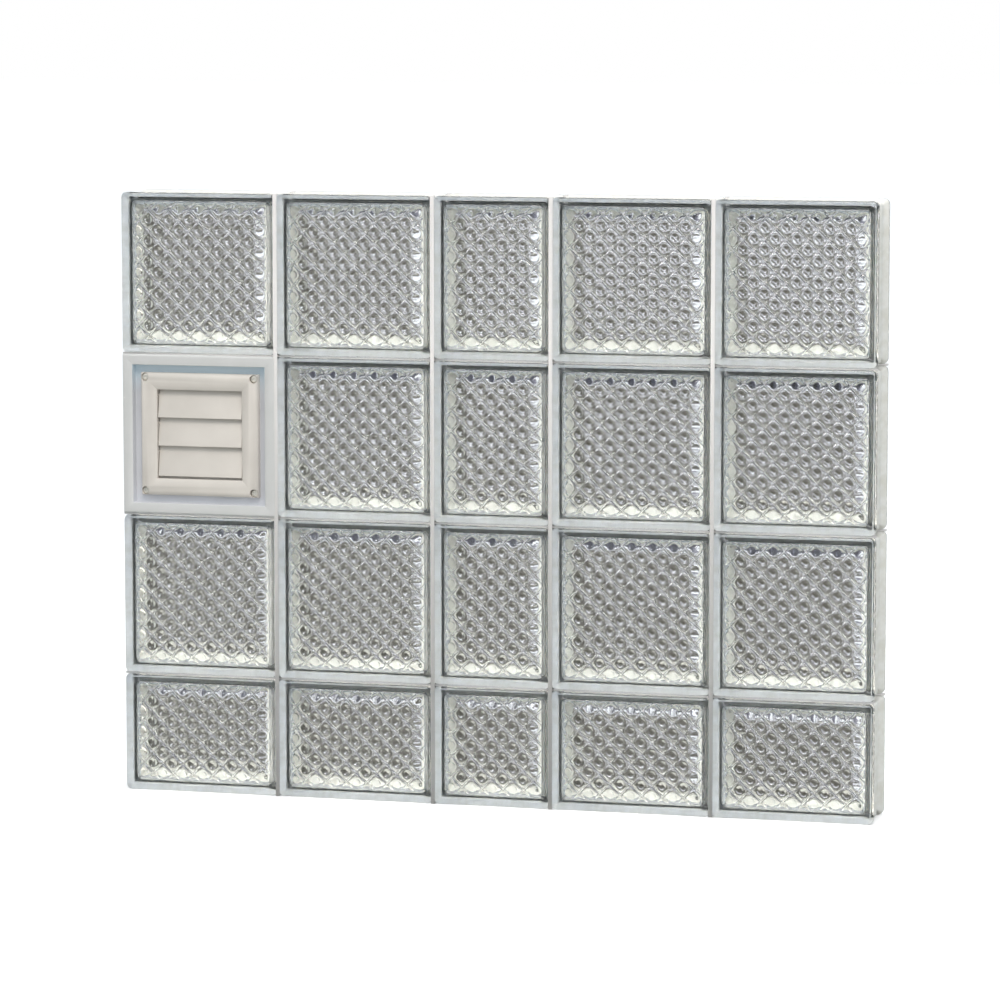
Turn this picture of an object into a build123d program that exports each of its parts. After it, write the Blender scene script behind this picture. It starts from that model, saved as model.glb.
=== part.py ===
"""Glass block window panel with a louvred dryer vent, in millimetres.

X runs along the panel, the outdoor face looks along -Y and Z is up. The origin is on the
sill line, in the middle of the panel's length and of its depth.
"""

from build123d import *
from math import asin, atan2, cos, degrees, hypot, radians, sin
import os

os.makedirs("parts", exist_ok=True)

# Layout of the panel: a module is one block and one joint
large_module = 196.85
small_module = 146.05
joint_gap = 2.0
panel_depth = 79.375
column_modules = [large_module, large_module, small_module, large_module, large_module]
row_modules = [small_module, large_module, large_module, large_module]
vent_place = "r2_c1"

# Hollow pressed block, made of two halves fused at a seam
corner_cut = 4.0
corner_softening = 1.2
rim_depth = 12.0
rim_chamfer = 2.5
rim_land = 10.0
window_depth = 1.0
window_bevel = 60.0
face_glass = 8.0
side_glass = 6.5
waist_inset = 4.0
waist_draft = 2.0
cavity_draft = 2.0
seam_width = 5.0
seam_height = 1.2

# Clear sealant beads between the rims, outdoor and indoor
bead_setback = 3.0
bead_depth = 8.0

# White vinyl box that takes the place of one block
frame_wall = 3.0
frame_ring = 13.0
frame_bevel = 1.5
recess_depth = 12.0
mounting_panel = 3.0
back_panel_thickness = 3.0
back_panel_setback = 2.0

# Moulded louvre cover, screwed into the recess
cover_size = 150.0
cover_setback = 1.0
cover_skin = 2.5
cover_round = 6.0
opening_size = 109.0
slope_width = 9.0
slope_depth = 3.0
throat_wall = 3.0
throat_fit = 0.5
screw_inset = 5.5
screw_notch_radius = 5.0
screw_pad = 4.0

# Three gravity louvres on stub pins
louvre_count = 3
louvre_thickness = 1.6
louvre_clearance = 5.2
louvre_overlap = 4.0
louvre_end_gap = 2.5
hinge_bead_radius = 2.0
pin_radius = 1.5
pin_clearance = 0.05
pin_bite = 2.2
stop_rib = 2.5

# Duct pipe behind the cover, for a hose on the indoor side
duct_radius = 50.8
duct_wall = 2.0
duct_fit = 0.25
spigot_radius = 50.0
spigot_length = 38.0

panel_width = sum(column_modules) - joint_gap
panel_height = sum(row_modules) - joint_gap
front_y = -panel_depth / 2
back_y = panel_depth / 2


def cell_width(column):
    return column_modules[column] - joint_gap


def cell_height(row):
    return row_modules[row] - joint_gap


def cell_left(column):
    return sum(column_modules[:column]) - panel_width / 2


def cell_bottom(row):
    return sum(row_modules[:row])


def cell_name(column, row):
    """Rows count from the top and columns from the vent's end."""
    return f"r{len(row_modules) - row}_c{column + 1}"


def cell_centre(column, row):
    return (
        cell_left(column) + cell_width(column) / 2,
        0,
        cell_bottom(row) + cell_height(row) / 2,
    )


def face_plane(centre, y=0.0):
    """A plane parallel to the panel at depth y, whose normal points outdoors."""
    return Plane(origin=(centre[0], y, centre[2]), x_dir=(1, 0, 0), z_dir=(0, -1, 0))


def save(piece, name):
    piece.part.label = name
    export_step(piece.part, f"parts/{name}.step")


def glass_block(centre, width, height):
    """One hollow block: two rims, a drafted waist with its seam, and a sealed cavity."""
    waist_reach = panel_depth / 2 - rim_depth
    cavity_reach = panel_depth / 2 - window_depth - face_glass
    waist = (width - 2 * waist_inset, height - 2 * waist_inset)
    with BuildPart() as block:
        rim_backs = (
            face_plane(centre, front_y + rim_depth),
            face_plane(centre, back_y),
        )
        with BuildSketch(*rim_backs):
            Rectangle(width, height)
        extrude(amount=rim_depth)
        for corner_flat in (corner_cut, corner_softening):
            chamfer(block.edges().filter_by(Axis.Y), corner_flat)
        faces_of_glass = block.faces().sort_by(Axis.Y)
        chamfer(faces_of_glass[0].edges() + faces_of_glass[-1].edges(), rim_chamfer)
        with BuildSketch(face_plane(centre)):
            Rectangle(*waist)
        extrude(amount=waist_reach, both=True, taper=-waist_draft)
        with BuildSketch(face_plane(centre)):
            Rectangle(waist[0] + 2 * seam_height, waist[1] + 2 * seam_height)
        extrude(amount=seam_width / 2, both=True)
        for face_y, inward in ((front_y, -1), (back_y, 1)):
            with BuildSketch(face_plane(centre, face_y)):
                Rectangle(width - 2 * rim_land, height - 2 * rim_land)
            extrude(amount=inward * window_depth, taper=window_bevel, mode=Mode.SUBTRACT)
        with BuildSketch(face_plane(centre)):
            Rectangle(waist[0] - 2 * side_glass, waist[1] - 2 * side_glass)
        extrude(amount=cavity_reach, both=True, taper=cavity_draft, mode=Mode.SUBTRACT)
    return block


# Glass blocks, with one place kept for the vent
for column in range(len(column_modules)):
    for row in range(len(row_modules)):
        if cell_name(column, row) == vent_place:
            vent_column, vent_row = column, row
        else:
            block = glass_block(cell_centre(column, row), cell_width(column), cell_height(row))
            save(block, f"glass_block_{cell_name(column, row)}")

# Sealant between the columns: two upright beads for each joint
bead_middles = (
    front_y + bead_setback + bead_depth / 2,
    back_y - bead_setback - bead_depth / 2,
)
for joint in range(1, len(column_modules)):
    with BuildPart() as upright_joint:
        joint_x = cell_left(joint) - joint_gap / 2
        with Locations(*[(joint_x, y, panel_height / 2) for y in bead_middles]):
            Box(joint_gap, bead_depth, panel_height)
    save(upright_joint, f"sealant_upright_{joint}")

# Sealant between the rows, cut off at each upright joint
for joint in range(1, len(row_modules)):
    with BuildPart() as bed_joint:
        joint_z = cell_bottom(joint) - joint_gap / 2
        for column in range(len(column_modules)):
            middle_x = cell_left(column) + cell_width(column) / 2
            with Locations(*[(middle_x, y, joint_z) for y in bead_middles]):
                Box(cell_width(column), bead_depth, joint_gap)
    save(bed_joint, f"sealant_bed_{len(row_modules) - joint}")

# Levels of the vent, from the outdoor face inwards
vent_centre = cell_centre(vent_column, vent_row)
vent_x, _, vent_z = vent_centre
frame_width = cell_width(vent_column)
frame_height = cell_height(vent_row)
mounting_y = front_y + recess_depth
crest_y = front_y + cover_setback
opening_y = crest_y + slope_depth
flange_back_y = opening_y + cover_skin
opening_top = vent_z + opening_size / 2
opening_bottom = vent_z - opening_size / 2

# A louvre leans so that its lip clears the front of the next one by the clearance
louvre_pitch = (opening_size - louvre_clearance) / louvre_count
lean = atan2(louvre_clearance, louvre_pitch) + asin(
    louvre_thickness / hypot(louvre_pitch, louvre_clearance)
)
lip_above_pivot = hinge_bead_radius + louvre_clearance
leaf_top = (lip_above_pivot + louvre_overlap) / cos(lean)
leaf_bottom = (louvre_pitch - lip_above_pivot) / cos(lean)
leaf_swing = hypot(leaf_top, hinge_bead_radius)


def leaf_face_y(height, out):
    """How far behind its pivot a louvre's section is, at a height above the pivot."""
    return (height * sin(lean) - out) / cos(lean)


def on_leaf(down, out):
    """A point of a louvre's section, down the leaf from its pivot and out in front."""
    return (-out * cos(lean) - down * sin(lean), out * sin(lean) - down * cos(lean))


pivot_y = flange_back_y + louvre_clearance - leaf_face_y(lip_above_pivot, hinge_bead_radius)
throat_top = opening_top - lip_above_pivot + leaf_swing + louvre_clearance
throat_back_y = pivot_y + leaf_swing + louvre_clearance
throat_back_plate_y = throat_back_y + cover_skin
throat_height = throat_top - opening_bottom
throat_centre = (vent_x, 0, (throat_top + opening_bottom) / 2)
leaf_back = hinge_bead_radius - louvre_thickness
stop_y = pivot_y + leaf_face_y(lip_above_pivot - louvre_pitch, leaf_back) + louvre_clearance

# White frame: walls, outdoor ring with its recess, and the panel that the cover sits on
with BuildPart() as vent_frame:
    with BuildSketch(face_plane(vent_centre, back_y)):
        Rectangle(frame_width, frame_height)
    extrude(amount=panel_depth)
    chamfer(vent_frame.faces().sort_by(Axis.Y)[0].edges(), frame_bevel)
    recess = (frame_width - 2 * frame_ring, frame_height - 2 * frame_ring)
    with BuildSketch(face_plane(vent_centre, front_y)):
        Rectangle(*recess)
    extrude(amount=-recess_depth, mode=Mode.SUBTRACT)
    with BuildSketch(face_plane(vent_centre, back_y)):
        Rectangle(frame_width - 2 * frame_wall, frame_height - 2 * frame_wall)
    extrude(amount=panel_depth - recess_depth - mounting_panel, mode=Mode.SUBTRACT)
    with BuildSketch(face_plane(vent_centre, mounting_y + mounting_panel)):
        Rectangle(frame_width - 2 * frame_wall, frame_height - 2 * frame_wall)
        Rectangle(recess[0] + 2 * frame_wall, recess[1] + 2 * frame_wall, mode=Mode.SUBTRACT)
    extrude(amount=recess_depth + mounting_panel - frame_wall, mode=Mode.SUBTRACT)
    with BuildSketch(face_plane(throat_centre, mounting_y + mounting_panel)):
        Rectangle(
            opening_size + 2 * throat_wall + 2 * throat_fit,
            throat_height + 2 * throat_wall + 2 * throat_fit,
        )
    extrude(amount=recess_depth, mode=Mode.SUBTRACT)
save(vent_frame, "vent_frame")

# White indoor panel that closes the frame round the duct
with BuildPart() as vent_back_panel:
    with BuildSketch(face_plane(vent_centre, back_y - back_panel_setback)):
        Rectangle(frame_width - 2 * frame_wall, frame_height - 2 * frame_wall)
        Circle(duct_radius + duct_fit, mode=Mode.SUBTRACT)
    extrude(amount=back_panel_thickness)
save(vent_back_panel, "vent_back_panel")

# Louvre cover: pillowed border, throat behind it, back plate with the duct's hole
with BuildPart() as vent_cover:
    border_height = mounting_y - crest_y
    with BuildSketch(face_plane(vent_centre, mounting_y)):
        Rectangle(cover_size, cover_size)
    extrude(amount=border_height)
    fillet(vent_cover.faces().sort_by(Axis.Y)[0].edges(), cover_round)
    with BuildSketch(face_plane(vent_centre, opening_y)):
        Rectangle(opening_size, opening_size)
    with BuildSketch(face_plane(vent_centre, crest_y)):
        Rectangle(opening_size + 2 * slope_width, opening_size + 2 * slope_width)
    loft(ruled=True, mode=Mode.SUBTRACT)
    with BuildSketch(face_plane(vent_centre, mounting_y)):
        Rectangle(cover_size - 2 * cover_skin, cover_size - 2 * cover_skin)
    extrude(amount=mounting_y - flange_back_y, mode=Mode.SUBTRACT)
    with BuildSketch(face_plane(throat_centre, throat_back_plate_y)):
        Rectangle(opening_size + 2 * throat_wall, throat_height + 2 * throat_wall)
    extrude(amount=throat_back_plate_y - flange_back_y)
    screw_reach = cover_size / 2 - screw_inset
    screw_corners = [(x, z) for x in (-screw_reach, screw_reach) for z in (-screw_reach, screw_reach)]
    with BuildSketch(face_plane(vent_centre, mounting_y - screw_pad)):
        with Locations(*screw_corners):
            Circle(screw_notch_radius)
    extrude(amount=border_height, mode=Mode.SUBTRACT)
    with BuildSketch(face_plane(vent_centre, mounting_y)):
        with Locations(*screw_corners):
            Circle(screw_inset)
    extrude(amount=screw_pad)
    with BuildSketch(face_plane(vent_centre, throat_back_y)):
        Rectangle(opening_size, opening_size)
    extrude(amount=throat_back_y - front_y, mode=Mode.SUBTRACT)
    with BuildSketch(face_plane(throat_centre, throat_back_y)):
        Rectangle(opening_size, throat_height)
    extrude(amount=throat_back_y - flange_back_y, mode=Mode.SUBTRACT)
    with BuildSketch(face_plane(vent_centre, throat_back_plate_y)):
        Circle(duct_radius + duct_fit)
    extrude(amount=cover_skin, mode=Mode.SUBTRACT)
    stop_height = louvre_clearance + louvre_overlap
    with Locations((vent_x, stop_y + stop_rib / 2, opening_bottom + stop_height / 2)):
        Box(opening_size, stop_rib, stop_height)
    for louvre in range(louvre_count):
        pivot_z = opening_top - lip_above_pivot - louvre * louvre_pitch
        with Locations(Location((vent_x, pivot_y, pivot_z), (0, 90, 0))):
            Cylinder(
                pin_radius + pin_clearance,
                opening_size + 2 * throat_wall,
                mode=Mode.SUBTRACT,
            )
save(vent_cover, "vent_cover")

# Louvres: a thin leaf with a hinge bead behind it and a stub pin at each end
louvre_width = opening_size - 2 * louvre_end_gap
pin_reach = opening_size / 2 + pin_bite
for louvre, place in enumerate(("top", "middle", "bottom")):
    pivot_z = opening_top - lip_above_pivot - louvre * louvre_pitch
    pivot_plane = Plane(origin=(vent_x, pivot_y, pivot_z), x_dir=(0, 1, 0), z_dir=(1, 0, 0))
    with BuildPart() as vent_louvre:
        with BuildSketch(pivot_plane):
            with BuildLine():
                Polyline(
                    on_leaf(-leaf_top, hinge_bead_radius),
                    on_leaf(-leaf_top, leaf_back),
                    on_leaf(leaf_bottom, leaf_back),
                    on_leaf(leaf_bottom, hinge_bead_radius),
                    close=True,
                )
            make_face()
            Circle(hinge_bead_radius)
        extrude(amount=louvre_width / 2, both=True)
        with BuildSketch(pivot_plane):
            Circle(pin_radius)
        extrude(amount=pin_reach, both=True)
    save(vent_louvre, f"louvre_{place}")

# Duct pipe, from the cover's back plate through the indoor panel to a narrower spigot
with BuildPart() as duct_pipe:
    pipe_end_y = back_y + spigot_length
    with BuildSketch(face_plane(vent_centre, back_y)):
        Circle(duct_radius)
    extrude(amount=back_y - throat_back_y)
    with BuildSketch(face_plane(vent_centre, pipe_end_y)):
        Circle(spigot_radius)
    extrude(amount=spigot_length)
    with BuildSketch(face_plane(vent_centre, pipe_end_y)):
        Circle(duct_radius - duct_wall)
    extrude(amount=pipe_end_y - throat_back_y, mode=Mode.SUBTRACT)
save(duct_pipe, "duct_pipe")

print(f"panel {panel_width:.1f} x {panel_depth:.1f} x {panel_height:.1f}")
print(f"louvre lean {degrees(lean):.2f} deg, pitch {louvre_pitch:.2f}, pivot y {pivot_y:.2f}")
print(f"throat back y {throat_back_y:.2f}, top z {throat_top:.2f}, stop y {stop_y:.2f}")
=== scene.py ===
# %% [markdown]
# # A glass block window, dressed for its portrait
#
# This lesson dresses a window panel of hollow glass blocks that was drawn in CAD. Nineteen blocks
# are bedded in clear sealant, and a louvred vent takes the place of one block. The CAD model
# brings every size and place, so nothing here is placed by eye: each new mesh is worked out from
# the box of the piece that it stands for.

# %% Load the CAD model as a fixed frame
from math import cos, pi, radians, sin, sqrt

import bmesh
import bpy
from mathutils import Matrix, Vector


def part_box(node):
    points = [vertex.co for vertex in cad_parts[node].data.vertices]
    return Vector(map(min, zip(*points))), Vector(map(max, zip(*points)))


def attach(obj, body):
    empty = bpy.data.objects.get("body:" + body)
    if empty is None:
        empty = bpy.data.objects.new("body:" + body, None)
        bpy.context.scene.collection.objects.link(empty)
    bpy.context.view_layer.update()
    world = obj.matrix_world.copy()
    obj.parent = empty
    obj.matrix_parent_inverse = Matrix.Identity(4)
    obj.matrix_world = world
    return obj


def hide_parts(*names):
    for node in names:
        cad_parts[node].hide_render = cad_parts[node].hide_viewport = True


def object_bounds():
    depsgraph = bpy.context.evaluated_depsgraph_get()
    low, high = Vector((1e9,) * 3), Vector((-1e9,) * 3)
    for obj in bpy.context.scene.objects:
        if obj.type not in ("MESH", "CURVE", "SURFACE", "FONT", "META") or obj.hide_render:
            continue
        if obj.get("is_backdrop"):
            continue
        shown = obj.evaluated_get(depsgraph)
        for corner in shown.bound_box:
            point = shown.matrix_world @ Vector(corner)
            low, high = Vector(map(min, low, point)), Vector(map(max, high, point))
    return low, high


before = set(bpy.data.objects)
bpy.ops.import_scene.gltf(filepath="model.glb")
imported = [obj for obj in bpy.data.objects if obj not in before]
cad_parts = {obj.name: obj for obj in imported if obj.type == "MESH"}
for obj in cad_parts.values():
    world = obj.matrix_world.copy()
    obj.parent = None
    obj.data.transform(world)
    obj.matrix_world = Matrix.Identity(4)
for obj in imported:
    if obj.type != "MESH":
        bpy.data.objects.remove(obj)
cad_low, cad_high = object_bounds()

MM = 0.001
print("panel in mm", [round(side / MM, 1) for side in cad_high - cad_low])

# %% [markdown]
# ## Two helpers for every finish
#
# Paint charts and photographs give colours as sRGB hex values, while the renderer works with
# linear light. One function turns the first into the second. A second function adds a shader
# node with its settings and its links, so that each material reads as a short recipe.

# %% Colour and node helpers
def linear(hex_colour, alpha=1.0):
    """An sRGB hex colour as the linear RGBA that shaders use."""
    channels = [int(hex_colour[k:k + 2], 16) / 255 for k in (1, 3, 5)]
    light = [c / 12.92 if c <= 0.04045 else ((c + 0.055) / 1.055) ** 2.4 for c in channels]
    return (*light, alpha)


def add_node(tree, kind, values=None, links=None, **settings):
    """Add one node: its settings, the values of its sockets, and what is linked into them."""
    node = tree.nodes.new(kind)
    for name, value in settings.items():
        setattr(node, name, value)
    for socket, value in (values or {}).items():
        node.inputs[socket].default_value = value
    for socket, source in (links or {}).items():
        tree.links.new(source, node.inputs[socket])
    return node


def new_finish(name, colour, **values):
    """A material with its Principled shader set from typical values."""
    material = bpy.data.materials.new(name)
    material.use_nodes = True
    tree = material.node_tree
    shader = tree.nodes["Principled BSDF"]
    shader.inputs["Base Color"].default_value = linear(colour)
    for socket, value in values.items():
        shader.inputs[socket.replace("_", " ")].default_value = value
    return material, tree, shader


def pattern_scale(size_mm):
    """The scale of a noise texture whose features are this many millimetres wide."""
    return 1 / (size_mm * MM)


print("mid grey is", [round(channel, 3) for channel in linear("#808080")])

# %% [markdown]
# ## Pressed soda-lime glass
#
# The blocks are soda-lime glass, pressed in a mould while it is soft and fused from two halves.
# Such glass has an index of 1.52 and is smooth, but the plunger leaves slow waves in it. It is
# nearly clear through one face and turns grey-blue where the eye looks along it, as in the rims.
# A shader tint would colour all of it alike, so absorption inside the volume was chosen.

# %% Pressed glass
GLASS_WAVE_MM = 14.0
GLASS_ABSORBS = 12.0


def pressed_glass():
    material, tree, shader = new_finish(
        "pressed_soda_lime_glass", "#ffffff", Transmission_Weight=1.0, IOR=1.52, Roughness=0.0
    )
    place = add_node(tree, "ShaderNodeTexCoord")
    waves = add_node(
        tree, "ShaderNodeTexNoise",
        values={"Scale": pattern_scale(GLASS_WAVE_MM), "Detail": 3.0},
        links={"Vector": place.outputs["Object"]},
    )
    bump = add_node(
        tree, "ShaderNodeBump",
        values={"Strength": 0.35, "Distance": 0.001},
        links={"Height": waves.outputs["Fac"]},
    )
    tree.links.new(bump.outputs["Normal"], shader.inputs["Normal"])
    absorb = add_node(
        tree, "ShaderNodeVolumeAbsorption",
        values={"Color": linear("#dce1e3"), "Density": GLASS_ABSORBS},
    )
    tree.links.new(absorb.outputs["Volume"], tree.nodes["Material Output"].inputs["Volume"])
    return material


GLASS = pressed_glass()
print(GLASS.name, "waves in mm", GLASS_WAVE_MM)

# %% [markdown]
# ## The white coat on the edges
#
# The sides of each block are dipped in a white vinyl coat, so that sealant sticks to them. Seen
# through the glass it is what lights the inner walls. It is satin, a little uneven in thickness
# and slightly streaked along the depth of the block, so a noise that is stretched that way varies
# its tone.

# %% Edge coat
COAT_STREAK_MM = 9.0
ALONG_DEPTH = (1.0, 0.15, 1.0)


def edge_coat():
    material, tree, shader = new_finish("white_vinyl_edge_coat", "#eeede7", Roughness=0.42)
    place = add_node(tree, "ShaderNodeTexCoord")
    stretch = add_node(
        tree, "ShaderNodeMapping",
        values={"Scale": ALONG_DEPTH},
        links={"Vector": place.outputs["Object"]},
    )
    streaks = add_node(
        tree, "ShaderNodeTexNoise",
        values={"Scale": pattern_scale(COAT_STREAK_MM), "Detail": 4.0},
        links={"Vector": stretch.outputs["Vector"]},
    )
    tone = add_node(tree, "ShaderNodeValToRGB", links={"Fac": streaks.outputs["Fac"]})
    tone.color_ramp.elements[0].position = 0.3
    tone.color_ramp.elements[0].color = linear("#e4e2da")
    tone.color_ramp.elements[1].position = 0.65
    tone.color_ramp.elements[1].color = linear("#f1f0ec")
    tree.links.new(tone.outputs["Color"], shader.inputs["Base Color"])
    bump = add_node(
        tree, "ShaderNodeBump",
        values={"Strength": 0.2, "Distance": 0.0004},
        links={"Height": streaks.outputs["Fac"]},
    )
    tree.links.new(bump.outputs["Normal"], shader.inputs["Normal"])
    return material


COAT = edge_coat()
print(COAT.name, "streaks in mm", COAT_STREAK_MM)

# %% [markdown]
# ## Clear silicone sealant
#
# The beads between the blocks are clear silicone, tooled with a wet finger. It is milky rather
# than clear at this thickness, satin, and ripples a little along its length.

# %% Silicone
SILICONE_RIPPLE_MM = 7.0


def silicone():
    material, tree, shader = new_finish(
        "clear_silicone_sealant", "#dfdcda", Roughness=0.3, IOR=1.41, Subsurface_Weight=0.25
    )
    shader.inputs["Subsurface Radius"].default_value = (0.002, 0.002, 0.002)
    shader.inputs["Subsurface Scale"].default_value = 1.0
    place = add_node(tree, "ShaderNodeTexCoord")
    ripples = add_node(
        tree, "ShaderNodeTexNoise",
        values={"Scale": pattern_scale(SILICONE_RIPPLE_MM), "Detail": 2.0},
        links={"Vector": place.outputs["Object"]},
    )
    bump = add_node(
        tree, "ShaderNodeBump",
        values={"Strength": 0.3, "Distance": 0.0005},
        links={"Height": ripples.outputs["Fac"]},
    )
    tree.links.new(bump.outputs["Normal"], shader.inputs["Normal"])
    return material


SILICONE = silicone()
print(SILICONE.name, "ripples in mm", SILICONE_RIPPLE_MM)

# %% [markdown]
# ## Moulded and extruded plastics
#
# The vent's frame is rigid white vinyl, its cover and louvres are moulded almond ABS, and the
# duct is white vinyl pipe. All three have an index near 1.5 and a satin skin. What tells them
# apart is their tone and the texture of the tool, so one function takes both. The recess in the
# frame has a vinyl of its own: a cooler white that is painted shade, as the recess lies under the
# ring.

# %% Plastics
def plastic(name, light, shade, roughness, grain_mm, grain_depth_mm, mottle_mm=40.0):
    """A satin plastic: a slow mottle between two tones over the fine grain of its mould."""
    material, tree, shader = new_finish(name, light, Roughness=roughness, IOR=1.5)
    place = add_node(tree, "ShaderNodeTexCoord")
    mottle = add_node(
        tree, "ShaderNodeTexNoise",
        values={"Scale": pattern_scale(mottle_mm), "Detail": 3.0},
        links={"Vector": place.outputs["Object"]},
    )
    tone = add_node(tree, "ShaderNodeValToRGB", links={"Fac": mottle.outputs["Fac"]})
    tone.color_ramp.elements[0].position = 0.35
    tone.color_ramp.elements[0].color = linear(shade)
    tone.color_ramp.elements[1].position = 0.62
    tone.color_ramp.elements[1].color = linear(light)
    tree.links.new(tone.outputs["Color"], shader.inputs["Base Color"])
    grain = add_node(
        tree, "ShaderNodeTexNoise",
        values={"Scale": pattern_scale(grain_mm), "Detail": 2.0},
        links={"Vector": place.outputs["Object"]},
    )
    bump = add_node(
        tree, "ShaderNodeBump",
        values={"Strength": 0.5, "Distance": grain_depth_mm * MM},
        links={"Height": grain.outputs["Fac"]},
    )
    tree.links.new(bump.outputs["Normal"], shader.inputs["Normal"])
    return material


VINYL = plastic("rigid_white_vinyl", "#dad9d8", "#d4d4d2", 0.38, 2.5, 0.03)
# The recess vinyl is a cooler white than the ring: painted shade.
RECESS_PAINTED_SHADE_VINYL = plastic("rigid_vinyl_painted_recess_shade", "#dcdde2", "#d7d8dd", 0.38, 2.5, 0.03)
ALMOND = plastic("moulded_almond_abs", "#dfd8d0", "#d9d2ca", 0.5, 0.9, 0.04)
PIPE = plastic("white_vinyl_pipe", "#dcdcda", "#d5d6d3", 0.32, 6.0, 0.04)
print("plastics", [finish.name for finish in (VINYL, RECESS_PAINTED_SHADE_VINYL, ALMOND, PIPE)])

# %% [markdown]
# ## Zinc-plated steel
#
# Four small screws hold the cover. Zinc plating is a grey metal with a soft, slightly patchy
# shine, so its roughness varies with a noise a few millimetres wide.

# %% Zinc
ZINC_PATCH_MM = 2.0


def zinc_plate():
    material, tree, shader = new_finish("zinc_plated_steel", "#f2f1ec", Metallic=1.0)
    place = add_node(tree, "ShaderNodeTexCoord")
    patches = add_node(
        tree, "ShaderNodeTexNoise",
        values={"Scale": pattern_scale(ZINC_PATCH_MM), "Detail": 3.0},
        links={"Vector": place.outputs["Object"]},
    )
    rough = add_node(
        tree, "ShaderNodeMapRange",
        values={"To Min": 0.5, "To Max": 0.65},
        links={"Value": patches.outputs["Fac"]},
    )
    tree.links.new(rough.outputs["Result"], shader.inputs["Roughness"])
    return material


ZINC = zinc_plate()
print(ZINC.name, "patches in mm", ZINC_PATCH_MM)

# %% [markdown]
# ## Rings: the way into a moulded shape
#
# A pressed block is a stack of rounded rectangles, each a little wider or deeper than the last.
# A cube with a bevel could give the outside, but not the rim, the waist and the seam in one
# skin. So the outside is lofted through rings, from the window in the face to the seam at half
# depth, and the second half is the first one turned about the upright axis, as in the factory.

# %% Rounded rings
CORNER_STEPS = 6


def rounded_ring(half_width, half_height, radius):
    """Points of a rounded rectangle, anticlockwise from its right side."""
    points = []
    for quarter, (side_x, side_z) in enumerate(((1, 1), (-1, 1), (-1, -1), (1, -1))):
        for step in range(CORNER_STEPS + 1):
            angle = (quarter + step / CORNER_STEPS) * pi / 2
            points.append((
                side_x * (half_width - radius) + radius * cos(angle),
                side_z * (half_height - radius) + radius * sin(angle),
            ))
    return points


def loft(mesh, rings, material):
    """Join rings of vertices that have as many points each."""
    for near, far in zip(rings, rings[1:]):
        for k in range(len(near)):
            after = (k + 1) % len(near)
            face = mesh.faces.new((near[k], near[after], far[after], far[k]))
            face.smooth = True
            face.material_index = material


print("points in a ring", len(rounded_ring(1, 1, 0.1)))

# %% [markdown]
# ## The outside of half a block
#
# From the middle of the face outwards: a window set back by nearly a millimetre, a soft step up
# to the flat rim, a rounded rim edge, the coated side of the rim, the waist and the raised seam.
# All sizes are in millimetres, as pairs of an inset from the block's edge and a depth from its
# face. The waist starts close behind the rim, so its white coat shows through the rim.

# %% Outside of half a block
WINDOW_STEP = [(10.2, 0.9), (9.3, 0.78), (8.4, 0.42), (7.5, 0.08), (6.8, 0.0)]
RIM_EDGE_RADIUS = 3.4
RIM_EDGE_STEPS = 5
WAIST = [(0.0, 9.5), (1.2, 10.8), (4.4, 12.8), (5.8, 14.8), (6.2, 22.0)]
SEAM_FOOT_INSET = 4.0
SEAM_INSET = 3.0
SEAM_HALF = 2.4
OUTER_CORNER = 6.5
TIGHTEST_CORNER = 2.0
WINDOW_CORNER = 5.0
COAT_STARTS = 6.5


def rim_edge():
    """The rounded edge of the rim, as (inset, depth)."""
    turns = [k * pi / 2 / RIM_EDGE_STEPS for k in range(RIM_EDGE_STEPS + 1)]
    return [
        (RIM_EDGE_RADIUS * (1 - sin(turn)), RIM_EDGE_RADIUS * (1 - cos(turn))) for turn in turns
    ]


def outside_rings(mesh, width, height, depth):
    """The rings of the glass face, then those of the coated sides, for the outdoor half."""
    half = depth / 2
    seam = [
        (SEAM_FOOT_INSET, half - SEAM_HALF - 1.0), (SEAM_INSET, half - SEAM_HALF),
        (SEAM_INSET, half),
    ]
    rim_starts = WINDOW_STEP[-1][0]
    bare = WINDOW_STEP + rim_edge() + [(0.0, COAT_STARTS)]
    profile = bare + WAIST + seam
    rings = []
    for inset, down in profile:
        outer = max(OUTER_CORNER - inset, TIGHTEST_CORNER)
        radius = outer if inset < rim_starts else WINDOW_CORNER
        ring = rounded_ring(width / 2 - inset, height / 2 - inset, radius)
        rings.append([mesh.verts.new((x * MM, (down - half) * MM, z * MM)) for x, z in ring])
    return rings, len(bare)


def outside_half(mesh, width, height, depth):
    rings, bare_count = outside_rings(mesh, width, height, depth)
    mesh.faces.new(rings[0]).material_index = 0
    loft(mesh, rings[:bare_count], 0)
    loft(mesh, rings[bare_count - 1:], 1)


print("rim edge in mm", [(round(i, 2), round(d, 2)) for i, d in rim_edge()])

# %% [markdown]
# ## The pressed pattern
#
# Inside the face, diagonal ribs cross on a pitch of 25.7 mm, and a low dome sits in each diamond.
# Bump would shift the shading only, and what makes glass block is how each dome bends the view,
# so the relief is real geometry. One diamond is drawn as rings that pass from a square rib to
# a round dome, and it is repeated over the face. The ribs that fall to the right stand higher
# than the ribs that rise to the right, and turning the second half crosses them.

# %% One diamond of the pattern
PITCH = 25.7
DIAMOND = PITCH / sqrt(2)
DIAMOND_STEPS = 12
FALLING_RIB = 3.0
RISING_RIB = 1.5
RIB_HALF_WIDTH = 1.9
DOME_RADIUS = 5.6
DOME_HEIGHT = 1.3
RIB_PROFILE = [(0.0, 1.0), (0.35, 0.66), (0.75, 0.14), (1.0, 0.0)]
DOME_PROFILE = [(1.0, 0.0), (0.82, 0.35), (0.5, 0.8)]


def on_square(reach, angle):
    longest = max(abs(cos(angle)), abs(sin(angle)))
    return reach * cos(angle) / longest, reach * sin(angle) / longest


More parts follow.
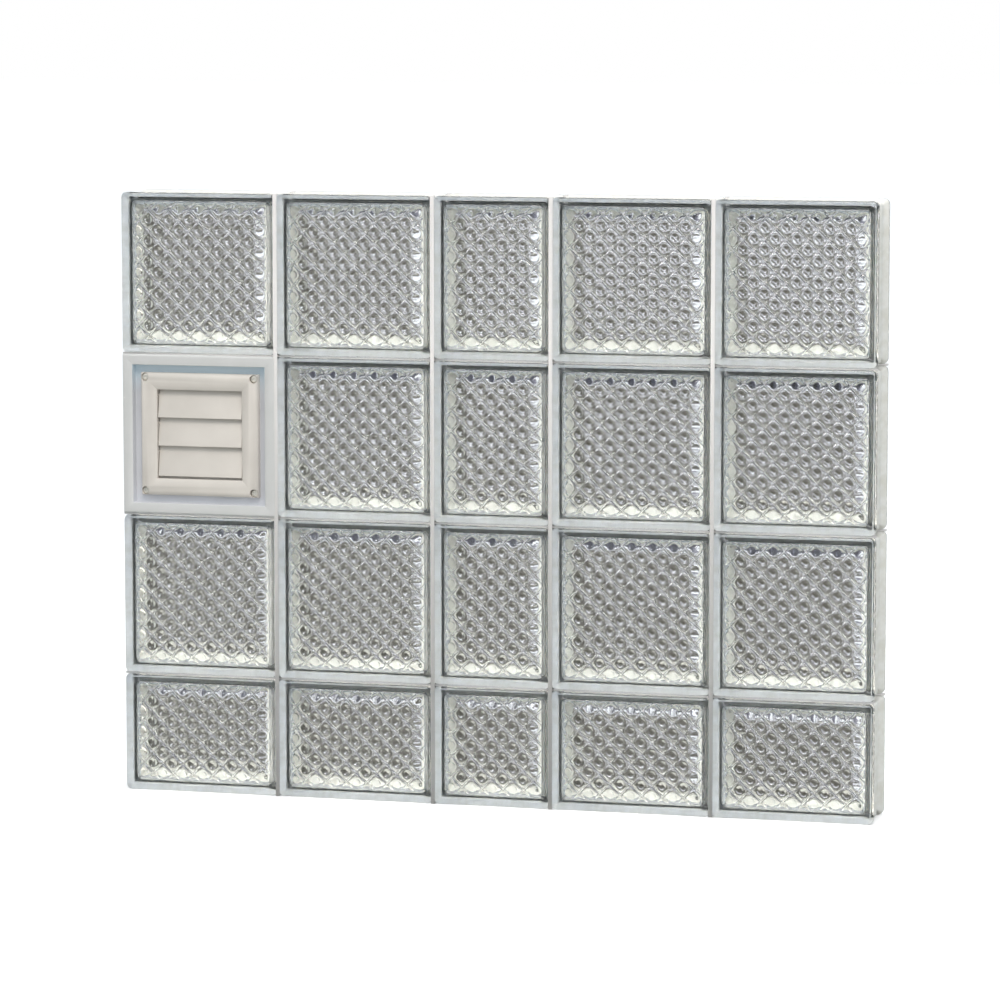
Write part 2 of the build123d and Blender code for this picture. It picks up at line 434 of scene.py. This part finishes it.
def diamond_rings():
    """Rings of (across, along, relief): across falling ribs, across rising ribs, height."""
    angles = [pi / 4 + 2 * pi * k / DIAMOND_STEPS for k in range(DIAMOND_STEPS)]
    rings = []
    for share, rise in RIB_PROFILE:
        ring = []
        for angle in angles:
            a, b = on_square(DIAMOND / 2 - share * RIB_HALF_WIDTH, angle)
            falling = abs(a) >= abs(b) - 1e-6
            ring.append((a, b, rise * (FALLING_RIB if falling else RISING_RIB)))
        rings.append(ring)
    for share, rise in DOME_PROFILE:
        reach = share * DOME_RADIUS
        rings.append([(reach * cos(t), reach * sin(t), rise * DOME_HEIGHT) for t in angles])
    return rings


def place_diamond(mesh, relief, rings, centre_x, centre_z):
    """Add one diamond, turned by 45 degrees, and keep the relief of each vertex."""
    def place(a, b, rise):
        x = centre_x + (a + b) / sqrt(2)
        z = centre_z + (a - b) / sqrt(2)
        vertex = mesh.verts.new((x, 0, z))
        vertex[relief] = rise
        return vertex

    placed = [[place(*point) for point in ring] for ring in rings]
    top = place(0, 0, DOME_HEIGHT)
    for near, far in zip(placed, placed[1:]):
        for k in range(DIAMOND_STEPS):
            after = (k + 1) % DIAMOND_STEPS
            mesh.faces.new((near[k], near[after], far[after], far[k]))
    for k in range(DIAMOND_STEPS):
        mesh.faces.new((placed[-1][k], placed[-1][(k + 1) % DIAMOND_STEPS], top))


print("side of a diamond in mm", round(DIAMOND, 2), "rings", len(diamond_rings()))

# %% [markdown]
# ## The inside of half a block
#
# The patterned face curves into the side walls like a dish. The pattern is laid flat first, cut
# to a rounded outline with one plane for each of its sides, and then every vertex is raised by
# its relief and by the dish. The cut edge is carried on down the curve to the middle of the
# block, where it meets the other half. The coat shines through the side glass, and a renderer
# loses that light on its many bounces. So the last steps of the wall take the finish of the coat.

# %% The dish and the flat pattern
FACE_GLASS = 8.5
SIDE_GLASS = 7.8
DISH_RADIUS = 21.0
CAVITY_CORNER = 9.0
PATTERN_MARGIN = 2.6
DISH_STEPS = 6
CLEAR_STEPS = 4
SEAM_DRAFT = 1.5
RELIEF_MARGIN = 5.2
RELIEF_FADE = 4.0


def edge_distance(x, z, half_width, half_height, radius):
    """How far inside a rounded rectangle a point is, and which way its edge lies."""
    past_x = abs(x) - (half_width - radius)
    past_z = abs(z) - (half_height - radius)
    corner = Vector((max(past_x, 0), max(past_z, 0)))
    away = corner if corner.length > 0 else Vector((past_x > past_z, past_x <= past_z))
    away = Vector((away.x * (1 if x > 0 else -1), away.y * (1 if z > 0 else -1))).normalized()
    return radius - corner.length - min(max(past_x, past_z), 0), away


def dish(distance):
    """How deep the curved edge of the cavity is, at a distance from the side wall."""
    if distance >= DISH_RADIUS:
        return 0.0
    return DISH_RADIUS - sqrt(DISH_RADIUS ** 2 - (DISH_RADIUS - max(distance, 0)) ** 2)


def flat_pattern(half_width, half_height):
    """The repeated diamonds, flat and cut to the outline of the cavity less its margin."""
    mesh = bmesh.new()
    relief = mesh.verts.layers.float.new("relief")
    rings = diamond_rings()
    columns = int(2 * half_width / PITCH) + 2
    rows = int(2 * half_height / PITCH) + 2
    for column in range(-columns, columns + 1):
        for row in range(-rows, rows + 1):
            if (column + row) % 2:
                continue
            x, z = column * PITCH / 2, row * PITCH / 2
            if abs(x) < half_width + PITCH / 2 and abs(z) < half_height + PITCH / 2:
                place_diamond(mesh, relief, rings, x, z)
    bmesh.ops.remove_doubles(mesh, verts=mesh.verts, dist=0.01)
    outline = rounded_ring(
        half_width - PATTERN_MARGIN, half_height - PATTERN_MARGIN, CAVITY_CORNER - PATTERN_MARGIN
    )
    for (x1, z1), (x2, z2) in zip(outline, outline[1:] + outline[:1]):
        everything = mesh.verts[:] + mesh.edges[:] + mesh.faces[:]
        if abs(x2 - x1) + abs(z2 - z1) > 0.01:
            bmesh.ops.bisect_plane(
                mesh, geom=everything, dist=1e-4, clear_outer=True,
                plane_co=(x1, 0, z1), plane_no=(z2 - z1, 0, x1 - x2),
            )
    return mesh, relief


print("the dish in mm, at its edge and at the margin", dish(0), round(dish(PATTERN_MARGIN), 1))


# %% Inside of half a block
def inside_half(mesh, width, height, depth):
    """The inner skin of the outdoor half, from the pattern to the middle of the block."""
    half_width, half_height = width / 2 - SIDE_GLASS, height / 2 - SIDE_GLASS
    inner_face = -depth / 2 + FACE_GLASS
    flat, relief = flat_pattern(half_width, half_height)
    placed = {}
    distances = {}
    for v in flat.verts:
        far, away = edge_distance(v.co.x, v.co.z, half_width, half_height, CAVITY_CORNER)
        fade = min(max((far - RELIEF_MARGIN) / RELIEF_FADE, 0), 1)
        y = inner_face + dish(far) + v[relief] * fade
        placed[v] = mesh.verts.new((v.co.x * MM, y * MM, v.co.z * MM))
        distances[v] = (far, away)
    for face in flat.faces:
        mesh.faces.new([placed[v] for v in face.verts]).smooth = True
    rim = [edge for edge in flat.edges if edge.is_boundary]
    ring = {v: placed[v] for edge in rim for v in edge.verts}
    for step in range(1, DISH_STEPS + 2):
        next_ring = {}
        for v, old in ring.items():
            far, away = distances[v]
            left = far * (1 - step / DISH_STEPS) if step <= DISH_STEPS else -SEAM_DRAFT
            y = inner_face + dish(left) if step <= DISH_STEPS else 0.0
            moved = away * (far - left)
            spot = ((v.co.x + moved.x) * MM, y * MM, (v.co.z + moved.y) * MM)
            next_ring[v] = mesh.verts.new(spot)
        for edge in rim:
            a, b = edge.verts
            face = mesh.faces.new((ring[a], ring[b], next_ring[b], next_ring[a]))
            face.smooth = True
            face.material_index = 1 if step > CLEAR_STEPS else 0
        ring = next_ring
    flat.free()


# %% [markdown]
# ## A whole block
#
# Both skins of the half are copied with a half turn about the upright axis and welded at the
# seam. The outer skin faces outwards and the skin of the cavity faces into the cavity, so that
# the renderer knows where glass begins and ends.

# %% Whole block
def with_second_half(half):
    """Add the half again, turned by 180 degrees about Z, and weld both at the seam."""
    copied = bmesh.ops.duplicate(half, geom=half.verts[:] + half.edges[:] + half.faces[:])
    turned = [part for part in copied["geom"] if isinstance(part, bmesh.types.BMVert)]
    bmesh.ops.rotate(half, verts=turned, matrix=Matrix.Rotation(pi, 3, "Z"))
    seam = [v for v in half.verts if abs(v.co.y) < 1e-6]
    bmesh.ops.remove_doubles(half, verts=seam, dist=2e-5)


def block_skin(make_half, size, inwards):
    """One closed skin of a block as a mesh of its own, with its normals set."""
    skin = bmesh.new()
    make_half(skin, *size)
    with_second_half(skin)
    bmesh.ops.recalc_face_normals(skin, faces=skin.faces)
    if inwards:
        bmesh.ops.reverse_faces(skin, faces=skin.faces)
    return skin


def block_mesh(name, size):
    """The mesh of a block from its width, height and depth in millimetres."""
    whole = bmesh.new()
    for make_half, inwards in ((outside_half, False), (inside_half, True)):
        skin = block_skin(make_half, size, inwards)
        open_edges = sum(not edge.is_manifold for edge in skin.edges)
        part = bpy.data.meshes.new("skin")
        skin.to_mesh(part)
        skin.free()
        whole.from_mesh(part)
        bpy.data.meshes.remove(part)
        print("  ", make_half.__name__, "open edges", open_edges)
    mesh = bpy.data.meshes.new(name)
    whole.to_mesh(mesh)
    whole.free()
    mesh.materials.append(GLASS)
    mesh.materials.append(COAT)
    triangles = sum(len(polygon.vertices) - 2 for polygon in mesh.polygons)
    print(name, "triangles", triangles)
    return mesh


# %% [markdown]
# ## Lay the blocks
#
# Each block takes its place and its size from the CAD box of its node. Only four sizes exist, so
# blocks of one size share a mesh.

# %% Blocks
def new_piece(name, mesh, body, slot, *nodes):
    """Put a mesh in the scene, riding on a body and standing for CAD nodes."""
    piece = bpy.data.objects.new(name, mesh)
    bpy.context.collection.objects.link(piece)
    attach(piece, body)
    if nodes:
        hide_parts(*nodes)
    return piece


block_nodes = sorted(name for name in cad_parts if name.startswith("glass_block_"))
block_meshes = {}
for node in block_nodes:
    low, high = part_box(node)
    size = tuple(round(side / MM, 3) for side in high - low)
    size = (size[0], size[2], size[1])
    if size not in block_meshes:
        block_meshes[size] = block_mesh(f"block_{size[0]:.0f}x{size[1]:.0f}", size)
    block = new_piece(
        node.replace("glass_block", "pressed_block"), block_meshes[size], "panel",
        "pressed_glass", node,
    )
    block.location = (low + high) / 2
print("blocks", len(block_nodes), "sizes", len(block_meshes))

# %% [markdown]
# ## Beads of sealant
#
# Between two rounded rim edges lies a valley. The bead fills its bottom and is tooled hollow in
# front. It is drawn as a cross-section that follows the rims, carried along the joint. The
# uprights fill their valley nearly to the face, while the beds lie deeper, so that the rounded
# rims show above and below them.

# %% Section of a bead
BEAD_BACK = 11.0
BEAD_STRAIGHT = 4.0
BEAD_SKIN = 0.04


def valley_half_width(down, gap):
    """Half the width of the valley between two rims, at a depth below the face."""
    rise = max(RIM_EDGE_RADIUS - down, 0)
    return gap / 2 + RIM_EDGE_RADIUS - sqrt(RIM_EDGE_RADIUS ** 2 - rise ** 2) - BEAD_SKIN


def bead_section(top, hollow, gap):
    """Half of a bead's outline as (across, down), from its middle in front to its back."""
    lip = valley_half_width(top, gap)
    front = [(lip * share, top + hollow * (1 - share ** 2)) for share in (0.0, 0.4, 0.75)]
    downs = (top, top + 0.7, top + 1.6, BEAD_STRAIGHT)
    sides = [(valley_half_width(down, gap), down) for down in downs]
    return front + sides + [(gap / 2 - BEAD_SKIN, BEAD_BACK)]


def add_bead(mesh, start, along, across, outward, length, section):
    """Carry a bead's section along a joint; outward points out of the face."""
    outline = section + [(-a, d) for a, d in reversed(section) if a > 0]
    ends = []
    for shift in (0.0, length):
        ring = []
        for a, d in outline:
            spot = start + along * shift + across * a * MM - outward * d * MM
            ring.append(mesh.verts.new(spot))
        ends.append(ring)
    for k in range(len(outline)):
        after = (k + 1) % len(outline)
        mesh.faces.new((ends[0][k], ends[0][after], ends[1][after], ends[1][k])).smooth = True
    mesh.faces.new(ends[0])
    mesh.faces.new(ends[1][::-1])


def finished_mesh(name, builder, material):
    """Turn a bmesh into a mesh with one finish, its faces turned outwards."""
    bmesh.ops.recalc_face_normals(builder, faces=builder.faces)
    mesh = bpy.data.meshes.new(name)
    builder.to_mesh(mesh)
    builder.free()
    mesh.materials.append(material)
    return mesh


print("valley in mm at the face", round(2 * valley_half_width(0, 2), 2))

# %% Upright beads
UPRIGHT_BEAD = (0.45, 0.5)
face_y = {-1: cad_low.y, 1: max(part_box(name)[1].y for name in block_nodes)}
for joint in range(1, 5):
    node = f"sealant_upright_{joint}"
    low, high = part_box(node)
    gap = (high.x - low.x) / MM
    builder = bmesh.new()
    for side, y in face_y.items():
        add_bead(
            builder, Vector(((low.x + high.x) / 2, y, low.z)), Vector((0, 0, 1)),
            Vector((1, 0, 0)), Vector((0, side, 0)), high.z - low.z,
            bead_section(*UPRIGHT_BEAD, gap),
        )
    mesh = finished_mesh(node, builder, SILICONE)
    new_piece(f"upright_bead_{joint}", mesh, "panel", "clear_sealant", node)
print("faces outdoors and indoors in mm", [round(y / MM, 1) for y in face_y.values()])

# %% Bed beads
BED_BEAD = (2.5, 0.5)
column_spans = sorted({
    (round(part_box(name)[0].x, 5), round(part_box(name)[1].x, 5)) for name in block_nodes
})
for joint in range(1, 4):
    node = f"sealant_bed_{joint}"
    low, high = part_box(node)
    gap = (high.z - low.z) / MM
    builder = bmesh.new()
    for side, y in face_y.items():
        for left, right in column_spans:
            add_bead(
                builder, Vector((left, y, (low.z + high.z) / 2)), Vector((1, 0, 0)),
                Vector((0, 0, 1)), Vector((0, side, 0)), right - left,
                bead_section(*BED_BEAD, gap),
            )
    mesh = finished_mesh(node, builder, SILICONE)
    new_piece(f"bed_bead_{joint}", mesh, "panel", "clear_sealant", node)
print("a bed has a bead for each of", len(column_spans), "columns")

# %% [markdown]
# ## Softened plastic parts
#
# The CAD solids of the vent have the right shape, but edges like razors, and it is the small
# radius on an edge that catches the light. The shape isn't drawn twice: a copy of the CAD mesh
# gets its flat triangles merged, and a bevel rounds each edge sharper than 28 degrees.

# %% Softened copies of CAD nodes
SHARP = radians(28)
FLAT = radians(0.5)


def softened(node, name, body, slot, material, radius_mm, segments=2, refine=None):
    """A copy of a CAD node with rounded edges, which stands for the node."""
    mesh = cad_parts[node].data.copy()
    builder = bmesh.new()
    builder.from_mesh(mesh)
    bmesh.ops.remove_doubles(builder, verts=builder.verts, dist=1e-6)
    if refine:
        refine(builder, *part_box(node))
    bmesh.ops.dissolve_limit(
        builder, angle_limit=FLAT, verts=builder.verts, edges=builder.edges
    )
    builder.to_mesh(mesh)
    builder.free()
    mesh.materials.clear()
    mesh.materials.append(material)
    piece = new_piece(name, mesh, body, slot, node)
    bevel = piece.modifiers.new("edge radius", "BEVEL")
    bevel.width = radius_mm * MM
    bevel.segments = segments
    bevel.limit_method = "ANGLE"
    bevel.angle_limit = SHARP
    bevel.use_clamp_overlap = True
    bevel.harden_normals = True
    bevel.miter_outer = "MITER_ARC"
    for polygon in mesh.polygons:
        polygon.use_smooth = True
    return piece


print("sharpest angle left alone, in degrees", round(SHARP * 180 / pi))

# %% [markdown]
# ## The frame and its recess
#
# The frame is one vinyl moulding. Its recess lies under the ring, and its shade there is painted:
# the faces of the recess are picked by where they lie in the frame's box, and get a cooler vinyl
# of their own, whose colour is mixed with a blue white by height as painted shade towards the
# top.

# %% Vent frame
RECESS_RING_MM = 13.0
RECESS_LIP_MM = 2.0
RECESS_FLOOR_MM = 12.5
RECESS_SHADE_MM = 40.0


def paint_blue_shade_towards(top):
    """Painted shade: mix the colour of the recess with a blue white, from a height below its top.
    """
    tree = RECESS_PAINTED_SHADE_VINYL.node_tree
    shader = tree.nodes["Principled BSDF"]
    vinyl = shader.inputs["Base Color"].links[0].from_socket
    place = add_node(tree, "ShaderNodeTexCoord")
    height = add_node(tree, "ShaderNodeSeparateXYZ", links={0: place.outputs["Object"]})
    shade = add_node(
        tree, "ShaderNodeMapRange",
        values={"From Min": top - RECESS_SHADE_MM * MM, "From Max": top},
        links={"Value": height.outputs["Z"]}, interpolation_type="SMOOTHSTEP",
    )
    # The blue white over the upper recess is painted shade under the ring.
    painted_blue_shade = add_node(
        tree, "ShaderNodeMix", values={"B": linear("#d8e6ef")},
        links={"Factor": shade.outputs["Result"], "A": vinyl}, data_type="RGBA",
    )
    tree.links.new(painted_blue_shade.outputs["Result"], shader.inputs["Base Color"])


def paint_recess_shade(piece, node):
    """Give the walls and the floor of the frame's recess a cooler white, as painted shade."""
    low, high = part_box(node)
    middle = (low + high) / 2
    reach = (high - low) / 2
    piece.data.materials.append(RECESS_PAINTED_SHADE_VINYL)
    for polygon in piece.data.polygons:
        spot = polygon.center - middle
        inside = max(abs(spot.x) - reach.x, abs(spot.z) - reach.z) < (0.5 - RECESS_RING_MM) * MM
        deep = RECESS_LIP_MM * MM < polygon.center.y - low.y < RECESS_FLOOR_MM * MM
        if inside and deep:
            polygon.material_index = 1
    paint_blue_shade_towards(high.z - RECESS_RING_MM * MM)


vent_frame = softened("vent_frame", "vinyl_vent_frame", "panel", "white_vinyl", VINYL, 0.8)
paint_recess_shade(vent_frame, "vent_frame")
painted_shade_faces = sum(polygon.material_index for polygon in vent_frame.data.polygons)
print("faces of the recess", painted_shade_faces, "of", len(vent_frame.data.polygons))

# %% Back panel, cover and pipe
softened("vent_back_panel", "vinyl_back_panel", "panel", "white_vinyl", VINYL, 0.5)
softened("vent_cover", "almond_vent_cover", "panel", "beige_plastic", ALMOND, 0.4)
softened("duct_pipe", "vinyl_duct_pipe", "panel", "duct_plastic", PIPE, 0.4)

# %% [markdown]
# ## The louvres
#
# The CAD leaves keep a wide clearance, and on the real vent they nearly fill the throat. So the
# ends of each leaf are carried outwards and its pins are left alone. The lowest leaf also reaches
# further down, which closes the gap over the lower border. Each leaf rides on its own flap.

# %% Louvres
LEAF_HALF_MM = 52.0
LEAF_END_MM = 0.5
LEAF_GROWTH_MM = 1.4
LEAF_FOOT_MM = Vector((0.0, -0.5, -2.4))


def widen_leaf(builder, low, high):
    """Carry the ends of a leaf outwards, nearly to the throat, and leave its pins."""
    middle = (low.x + high.x) / 2
    for v in builder.verts:
        across = v.co.x - middle
        if LEAF_HALF_MM - LEAF_END_MM < abs(across) / MM < LEAF_HALF_MM + LEAF_END_MM:
            v.co.x += LEAF_GROWTH_MM * MM * (1 if across > 0 else -1)


def lengthen_leaf(builder, low, high):
    """Widen the lowest leaf, and carry its free edge down and a little outwards."""
    widen_leaf(builder, low, high)
    for v in builder.verts:
        if v.co.z < low.z + 1.0 * MM:
            v.co += LEAF_FOOT_MM * MM


for place in ("top", "middle", "bottom"):
    softened(
        f"louvre_{place}", f"almond_louvre_{place}", f"louvre_{place}_flap", "beige_plastic",
        ALMOND, 0.3, refine=lengthen_leaf if place == "bottom" else widen_leaf,
    )
    print("louvre", place, "rides on", f"louvre_{place}_flap")

# %% [markdown]
# ## Screws
#
# A pan head screw sits in a notch at each corner of the cover. Its head is a turned profile, and
# its cross recess is modelled, because the dark cross is what the eye reads as a screw. The
# head is lofted through rings, and two crossed bars are cut out of it.

# %% Screw head and its recess
HEAD_RADIUS = 4.4
HEAD_HEIGHT = 3.0
RECESS_REACH = 2.4
RECESS_HALF_WIDTH = 0.62
RECESS_DEPTH = 1.2
SCREW_INSET = 5.5
SCREW_PAD_TOP = 8.0
SCREW_TURN = 24


def screw_mesh():
    """A pan head that faces -Y, with its seat at the origin."""
    builder = bmesh.new()
    radii = [HEAD_RADIUS * share for share in (1.0, 1.0, 0.92, 0.75)]
    lifts = [HEAD_HEIGHT * share for share in (0.0, 0.45, 0.8, 0.97)]
    cross = [RECESS_REACH, RECESS_REACH * 0.8]
    rings = []
    for radius, lift in list(zip(radii, lifts)) + [(reach, HEAD_HEIGHT) for reach in cross]:
        rings.append([
            builder.verts.new((
                radius * cos(2 * pi * k / SCREW_TURN) * MM, -lift * MM,
                radius * sin(2 * pi * k / SCREW_TURN) * MM,
            ))
            for k in range(SCREW_TURN)
        ])
    loft(builder, rings, 0)
    builder.faces.new(rings[-1])
    base = builder.faces.new(rings[0])
    base.smooth = False
    bmesh.ops.recalc_face_normals(builder, faces=builder.faces)
    return builder


def recess_cutter():
    """Two crossed tapered bars that cut the recess."""
    builder = bmesh.new()
    for turn in (0, pi / 2):
        bar = bmesh.ops.create_cube(builder, size=1.0)["verts"]
        for v in bar:
            deep = v.co.y > 0
            reach = RECESS_REACH * (0.55 if deep else 1.0)
            v.co = Vector((
                2 * v.co.x * reach * MM,
                (-HEAD_HEIGHT + (RECESS_DEPTH if deep else -0.4)) * MM,
                2 * v.co.z * RECESS_HALF_WIDTH * MM,
            ))
        bmesh.ops.rotate(builder, verts=bar, matrix=Matrix.Rotation(turn + radians(20), 3, "Y"))
    return builder


print("head in mm", 2 * HEAD_RADIUS, "wide and", HEAD_HEIGHT, "high")

# %% Four screws
screw_data = finished_mesh("pan_head", screw_mesh(), ZINC)
cutter_data = finished_mesh("cross_recess", recess_cutter(), ZINC)
cutter = bpy.data.objects.new("cross_recess", cutter_data)
blank = bpy.data.objects.new("pan_head", screw_data)
for helper in (cutter, blank):
    bpy.context.collection.objects.link(helper)
cut = blank.modifiers.new("recess", "BOOLEAN")
cut.object = cutter
cut.operation = "DIFFERENCE"
cut.solver = "EXACT"
cut.use_self = True
evaluated = blank.evaluated_get(bpy.context.evaluated_depsgraph_get())
recessed = bpy.data.meshes.new_from_object(evaluated)
for helper in (cutter, blank):
    bpy.data.objects.remove(helper)
cover_low, cover_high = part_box("vent_cover")
screw_y = cad_low.y + SCREW_PAD_TOP * MM
inset = SCREW_INSET * MM
corners = [
    (x, z)
    for x in (cover_low.x + inset, cover_high.x - inset)
    for z in (cover_low.z + inset, cover_high.z - inset)
]
for number, (x, z) in enumerate(corners, 1):
    screw = new_piece(f"cover_screw_{number}", recessed, "panel", "screw_steel")
    screw.location = (x, screw_y, z)
    screw.rotation_euler.y = number * 0.7
print("screws", len(corners), "faces each", len(recessed.polygons))

# %% [markdown]
# ## The studio
#
# The panel stands on a pale floor under soft light. What makes pressed glass readable is the
# contrast of what it bends, so the world has a face for each kind of ray. The camera sees plain
# white. A mirror image shows one dark band, and a view through glass shows a sweep of greys that
# turns from warm below to lilac above. Matt surfaces are lit by a bright room. The coat behind
# glass would look dull in that room, since its light has to come back through the glass, so it
# gets a stronger light of its own behind the rims and a still stronger one behind two walls.

# %% The faces of the world
GLASS_SWEEP = [
    (0.0, "#eae6da"), (0.07, "#37352b"), (0.18, "#46433a"), (0.29, "#66635b"), (0.4, "#8f8d91"),
    (0.48, "#fdfbff"), (0.58, "#ffffff"), (0.64, "#84828f"), (0.78, "#3a3a48"), (1.0, "#444450"),
]
MIRROR_SWEEP = [
    (0.0, "#8a8f92"), (0.44, "#a9b0b4"), (0.5, "#4c5052"), (0.56, "#c9ced2"), (1.0, "#ffffff"),
]
ROOM_DOME = [(0.0, "#a9c3d4"), (0.5, "#dde7ee"), (1.0, "#f6fafd")]
RIM_DOME = [(0.0, "#bcc5d1"), (0.5, "#9fa8b3"), (1.0, "#c8cfda")]
COAT_DOME = [(0.0, "#1c1c1c"), (0.45, "#403f3d"), (0.58, "#dad8d2"), (1.0, "#fffaf0")]
UP = (0.0, 0.0, 1.0)
SWEEPS = {
    "glass": ((0.45, -0.05, 0.89), 0.6, GLASS_SWEEP, 1.74),
    "mirror": (UP, 0.7, MIRROR_SWEEP, 1.0),
    "room": (UP, 1.0, ROOM_DOME, 1.05),
    "rim": ((0.15, -0.25, 0.95), 1.0, RIM_DOME, 4.0),
    "coat": ((-0.35, -0.2, 0.91), 1.0, COAT_DOME, 15.0),
}
print("sweeps", list(SWEEPS))


# %% World
def sweep_view(tree, place, direction, reach, stops, strength):
    """A background whose colour changes along one direction of space."""
    along = add_node(
        tree, "ShaderNodeVectorMath", values={1: direction},
        links={0: place.outputs["Generated"]}, operation="DOT_PRODUCT",
    )
    tone = add_node(tree, "ShaderNodeMapRange", links={"Value": along.outputs["Value"]})
    tone.inputs["From Min"].default_value = -reach
    tone.inputs["From Max"].default_value = reach
    ramp = add_node(tree, "ShaderNodeValToRGB", links={"Fac": tone.outputs["Result"]})
    ramp.color_ramp.elements[0].color = linear(stops[0][1])
    ramp.color_ramp.elements[1].color = linear(stops[-1][1])
    for position, colour in stops[1:-1]:
        ramp.color_ramp.elements.new(position).color = linear(colour)
    return add_node(
        tree, "ShaderNodeBackground", values={"Strength": strength},
        links={"Color": ramp.outputs["Color"]},
    )


def studio_world():
    world = bpy.data.worlds.new("studio")
    bpy.context.scene.world = world
    world.use_nodes = True
    tree = world.node_tree
    tree.nodes.clear()
    place = add_node(tree, "ShaderNodeTexCoord")
    path = add_node(tree, "ShaderNodeLightPath")
    views = {name: sweep_view(tree, place, *sweep).outputs[0] for name, sweep in SWEEPS.items()}
    views["camera"] = add_node(
        tree, "ShaderNodeBackground", values={"Color": (1, 1, 1, 1), "Strength": 1.0}
    ).outputs[0]
    bounced = {
        (kind, bounces): add_node(
            tree, "ShaderNodeMath", values={1: bounces - 0.5}, links={0: path.outputs[kind]},
            operation="GREATER_THAN",
        ).outputs[0]
        for kind, bounces in (
            ("Diffuse Depth", 1), ("Transmission Depth", 2), ("Transmission Depth", 4),
        )
    }
    choices = (
        ("clear", path.outputs["Is Transmission Ray"], "mirror", "glass"),
        ("glazed", bounced["Transmission Depth", 4], "rim", "coat"),
        ("matt", bounced["Transmission Depth", 2], "room", "glazed"),
        ("bent", bounced["Diffuse Depth", 1], "clear", "matt"),
        ("world", path.outputs["Is Camera Ray"], "bent", "camera"),
    )
    for name, test, otherwise, chosen in choices:
        views[name] = add_node(
            tree, "ShaderNodeMixShader", links={0: test, 1: views[otherwise], 2: views[chosen]}
        ).outputs[0]
    add_node(tree, "ShaderNodeOutputWorld", links={"Surface": views["world"]})
    return tree


print("nodes of the world", len(studio_world().nodes))

# %% [markdown]
# ## The floor
#
# The floor is pale to the camera, with a faint glow so that it runs into the white behind it. For
# the light that it throws back at the panel it is grey, and glass looks through it, so that the
# sweep isn't cut off by a horizon.

# %% Floor
FLOOR_GLOW = 0.17
FLOOR_HALF = 40
FLOOR_GAP_MM = 0.2


def studio_floor():
    """A pale floor for the camera, grey as a light source and unseen through glass."""
    material = bpy.data.materials.new("pale_floor")
    material.use_nodes = True
    tree = material.node_tree
    tree.nodes.clear()
    path = add_node(tree, "ShaderNodeLightPath")
    pale = add_node(tree, "ShaderNodeBsdfDiffuse", values={"Color": linear("#fafafa")})
    glow = add_node(tree, "ShaderNodeEmission", values={"Strength": FLOOR_GLOW})
    seen = add_node(tree, "ShaderNodeAddShader", links={0: pale.outputs[0], 1: glow.outputs[0]})
    grey = add_node(tree, "ShaderNodeBsdfDiffuse", values={"Color": linear("#a8a8a4")})
    both = add_node(
        tree, "ShaderNodeMixShader",
        links={0: path.outputs["Is Camera Ray"], 1: grey.outputs[0], 2: seen.outputs[0]},
    )
    add_node(tree, "ShaderNodeOutputMaterial", links={"Surface": both.outputs[0]})
    builder = bmesh.new()
    bmesh.ops.create_grid(builder, x_segments=1, y_segments=1, size=FLOOR_HALF)
    mesh = finished_mesh("floor", builder, material)
    floor = bpy.data.objects.new("floor", mesh)
    floor.location.z = cad_low.z - FLOOR_GAP_MM * MM
    bpy.context.collection.objects.link(floor)
    floor.visible_transmission = False
    floor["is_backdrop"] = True


studio_floor()
print("floor in metres", 2 * FLOOR_HALF, "across")

# %% [markdown]
# ## Soft lights
#
# The world gives most of the light. Three large area lights add its direction: a key from above
# and in front, a weak one on the right end, and one behind that shines into the glass.

# %% Lights
PANEL_MIDDLE = Vector((0, 0, (cad_low.z + cad_high.z) / 2))


def area_light(name, place, size, power, colour="#ffffff"):
    data = bpy.data.lights.new(name, "AREA")
    data.shape = "RECTANGLE"
    data.size, data.size_y = size
    data.energy = power
    data.color = linear(colour)[:3]
    light = bpy.data.objects.new(name, data)
    light.location = place
    light.rotation_euler = (PANEL_MIDDLE - light.location).to_track_quat("-Z", "Y").to_euler()
    bpy.context.collection.objects.link(light)


area_light("key", (0.6, -2.2, 2.9), (1.8, 1.2), 45, "#fff8f0")
area_light("end", (3.2, -0.4, 1.2), (1.0, 1.8), 3, "#fffaf2")
area_light("back", (0.8, 2.2, 2.4), (1.8, 0.8), 10)
print("lights", len(bpy.data.lights))

# %% [markdown]
# ## The camera
#
# A long lens from over five metres keeps the panel's sides nearly parallel, as in the
# photograph. The camera stands to the right of the panel and a little above its middle.

# %% Camera
SENSOR_MM = 36.0
LENS_MM = 159.0
CAMERA_DISTANCE = 5.32
AZIMUTH = radians(15)
ELEVATION = radians(6.6)
AIM = Vector((0.0005, 0, 0.3678))

towards = Vector((sin(AZIMUTH) * cos(ELEVATION), -cos(AZIMUTH) * cos(ELEVATION), sin(ELEVATION)))
lens = bpy.data.cameras.new("camera")
lens.sensor_width = SENSOR_MM
lens.lens = LENS_MM
camera = bpy.data.objects.new("camera", lens)
camera.location = AIM + towards * CAMERA_DISTANCE
camera.rotation_euler = (-towards).to_track_quat("-Z", "Y").to_euler()
bpy.context.collection.objects.link(camera)
bpy.context.scene.camera = camera
bpy.context.scene.view_settings.view_transform = "Standard"
print("camera at", [round(value, 2) for value in camera.location])

# %% Compare the boxes and finish
model_low, model_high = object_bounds()
margins = (*(model_low - cad_low), *(model_high - cad_high))
print("visual less CAD in mm", [round(margin / MM, 2) for margin in margins])
